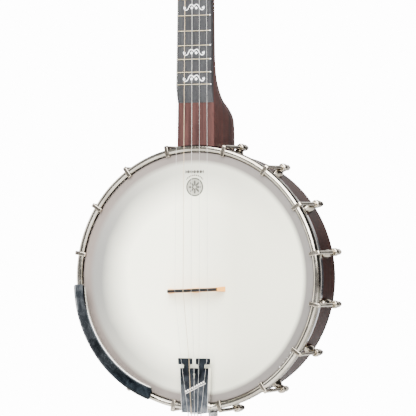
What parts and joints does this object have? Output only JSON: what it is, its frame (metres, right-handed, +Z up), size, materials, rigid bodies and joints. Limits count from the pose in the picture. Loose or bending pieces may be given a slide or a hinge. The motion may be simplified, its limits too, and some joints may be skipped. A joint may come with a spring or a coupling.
{
  "type": "open-back banjo",
  "caption": "Open-back banjo with a round drum pot, bracket-tightened head, armrest, tailpiece, fretted neck with a scoop, and geared tuning pegs.",
  "frame": {"origin": "inside the neck at the nut, where an instrument hanger's yoke holds it under the peghead", "axes": "+Z up the neck towards the peghead, +Y from the drum head towards the player, +X towards the first string's side"},
  "size_m": [0.3312, 0.0918, 0.9716],
  "materials": {
    "rim_wood": "satin lacquer",
    "neck_wood": "satin lacquer",
    "ebony": "oiled, near matte",
    "maple": "bare wood",
    "fret_metal": "polished nickel silver",
    "pearl": "mother-of-pearl sheen",
    "head_film": "frosted translucent film",
    "nickel": "polished nickel plate",
    "screw_steel": "plain machined",
    "rod_steel": "drawn bar",
    "ring_brass": "plain brass",
    "chrome_plate": "mirror polished",
    "bone": "polished bone",
    "string_steel": "bright drawn wire",
    "string_wound": "bronze-wound wire",
    "tuner_nickel": "polished nickel plate",
    "knob_pearl": "cream pearloid"
  },
  "bodies": {
    "instrument": {"armrest": "chrome_plate", "armrest_legs": "chrome_plate", "armrest_screws": "screw_steel", "bracket_hooks": "nickel", "bracket_shoes": "nickel", "bridge_base": "maple", "bridge_cap": "ebony", "coordinator_rod": "rod_steel", "end_bolt": "screw_steel", "end_spacer": "screw_steel", "fifth_peg_housing": "tuner_nickel", "fifth_string_nut": "bone", "flesh_hoop": "rod_steel", "fret_inlays": "pearl", "fretboard": "ebony", "frets": "fret_metal", "head": "head_film", "hook_nuts": "nickel", "neck": "neck_wood", "neck_lag_bolts": "screw_steel", "nut": "bone", "peghead_overlay": "ebony", "rim": "rim_wood", "rod_nuts": "screw_steel", "shoe_bolts": "screw_steel", "side_dots": "pearl", "string_1": "string_steel", "string_2": "string_steel", "string_3": "string_steel", "string_4": "string_wound", "string_5": "string_steel", "tailpiece": "chrome_plate", "tailpiece_hanger": "chrome_plate", "tailpiece_pins": "chrome_plate", "tailpiece_screw": "screw_steel", "tension_hoop": "nickel", "tone_ring_rod": "ring_brass", "tone_ring_sleeve": "chrome_plate", "truss_cover_screws": "screw_steel", "truss_rod": "rod_steel", "truss_rod_cover": "ebony", "truss_rod_nut": "ring_brass", "tuner_bushings": "tuner_nickel", "tuner_housings": "tuner_nickel"},
    "tuner_1_post": {"tuner_post_1": "tuner_nickel"},
    "tuner_1_knob": {"tuner_knob_1": "knob_pearl", "tuner_shaft_1": "tuner_nickel"},
    "tuner_2_post": {"tuner_post_2": "tuner_nickel"},
    "tuner_2_knob": {"tuner_knob_2": "knob_pearl", "tuner_shaft_2": "tuner_nickel"},
    "tuner_3_post": {"tuner_post_3": "tuner_nickel"},
    "tuner_3_knob": {"tuner_knob_3": "knob_pearl", "tuner_shaft_3": "tuner_nickel"},
    "tuner_4_post": {"tuner_post_4": "tuner_nickel"},
    "tuner_4_knob": {"tuner_knob_4": "knob_pearl", "tuner_shaft_4": "tuner_nickel"},
    "fifth_peg_post_body": {"fifth_peg_post": "tuner_nickel"},
    "fifth_peg_knob_body": {"fifth_peg_knob": "knob_pearl", "fifth_peg_shaft": "tuner_nickel"}
  },
  "joints": [
    {"name": "tuner_1_post_turn", "type": "hinge", "parent": "instrument", "child": "tuner_1_post", "pos_m": [0.024, 0.00207, 0.0548], "axis": [0, -0.9744, 0.225], "continuous": true},
    {"name": "tuner_1_knob_turn", "type": "hinge", "parent": "instrument", "child": "tuner_1_knob", "pos_m": [0.024, 0.00207, 0.0548], "axis": [0, -0.9744, 0.225], "continuous": true},
    {"name": "tuner_2_post_turn", "type": "hinge", "parent": "instrument", "child": "tuner_2_post", "pos_m": [0.0215, 0.0158, 0.11423], "axis": [0, -0.9744, 0.225], "continuous": true},
    {"name": "tuner_2_knob_turn", "type": "hinge", "parent": "instrument", "child": "tuner_2_knob", "pos_m": [0.0215, 0.0158, 0.11423], "axis": [0, -0.9744, 0.225], "continuous": true},
    {"name": "tuner_3_post_turn", "type": "hinge", "parent": "instrument", "child": "tuner_3_post", "pos_m": [-0.0215, 0.0158, 0.11423], "axis": [0, -0.9744, 0.225], "continuous": true},
    {"name": "tuner_3_knob_turn", "type": "hinge", "parent": "instrument", "child": "tuner_3_knob", "pos_m": [-0.0215, 0.0158, 0.11423], "axis": [0, -0.9744, 0.225], "continuous": true},
    {"name": "tuner_4_post_turn", "type": "hinge", "parent": "instrument", "child": "tuner_4_post", "pos_m": [-0.024, 0.00207, 0.0548], "axis": [0, -0.9744, 0.225], "continuous": true},
    {"name": "tuner_4_knob_turn", "type": "hinge", "parent": "instrument", "child": "tuner_4_knob", "pos_m": [-0.024, 0.00207, 0.0548], "axis": [0, -0.9744, 0.225], "continuous": true},
    {"name": "fifth_peg_post_turn", "type": "hinge", "parent": "instrument", "child": "fifth_peg_post_body", "pos_m": [-0.03081, -0.0028, -0.14285], "axis": [-1, 0, 0], "continuous": true},
    {"name": "fifth_peg_knob_turn", "type": "hinge", "parent": "instrument", "child": "fifth_peg_knob_body", "pos_m": [-0.03081, -0.0028, -0.14285], "axis": [-1, 0, 0], "continuous": true}
  ],
  "couplings": [
    {"joint": "tuner_1_knob_turn", "follows": "tuner_1_post_turn", "ratio": 4},
    {"joint": "tuner_2_knob_turn", "follows": "tuner_2_post_turn", "ratio": 4},
    {"joint": "tuner_3_knob_turn", "follows": "tuner_3_post_turn", "ratio": 4},
    {"joint": "tuner_4_knob_turn", "follows": "tuner_4_post_turn", "ratio": 4},
    {"joint": "fifth_peg_knob_turn", "follows": "fifth_peg_post_turn", "ratio": 4}
  ]
}
